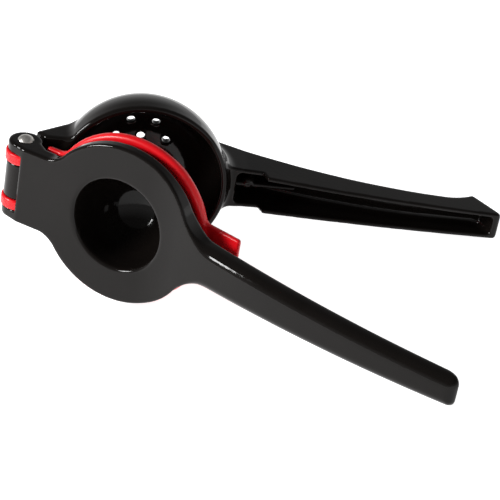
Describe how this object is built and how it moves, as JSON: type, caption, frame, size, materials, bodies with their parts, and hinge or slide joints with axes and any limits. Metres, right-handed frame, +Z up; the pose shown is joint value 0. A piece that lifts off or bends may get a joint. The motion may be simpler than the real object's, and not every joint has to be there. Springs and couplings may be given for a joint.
{
  "type": "citrus press",
  "caption": "Hand citrus press lying open on its side: a hollow ram arm and a drained bowl arm swing on one rivet, with a cup insert between them.",
  "frame": {"origin": "on the surface that the press lies on, under the middle of the whole press as it lies open", "axes": "+Z up from the surface; +X from the hinge towards the handle ends, midway between the arms; -Y is the side of the ram arm"},
  "size_m": [0.2247, 0.1625, 0.0806],
  "materials": {
    "black_enamel": "gloss black enamel over cast aluminium",
    "red_plastic": "gloss moulded nylon",
    "rivet_steel": "satin formed head"
  },
  "bodies": {
    "bowl_arm": {"bowl_arm": "black_enamel"},
    "insert": {"squeeze_insert": "red_plastic"},
    "ram_arm": {"ram_arm": "black_enamel", "hinge_rivet": "rivet_steel"}
  },
  "joints": [
    {"name": "insert_swing", "type": "hinge", "parent": "bowl_arm", "child": "insert", "pos_m": [-0.1008, 0.0105, 0.0513], "axis": [-0.2079, 0, -0.9781], "range_deg": [-29.6, 50]},
    {"name": "ram_arm_swing", "type": "hinge", "parent": "insert", "child": "ram_arm", "pos_m": [-0.1008, 0.0105, 0.0513], "axis": [-0.2079, 0, -0.9781], "range_deg": [-1.4, 60]}
  ]
}
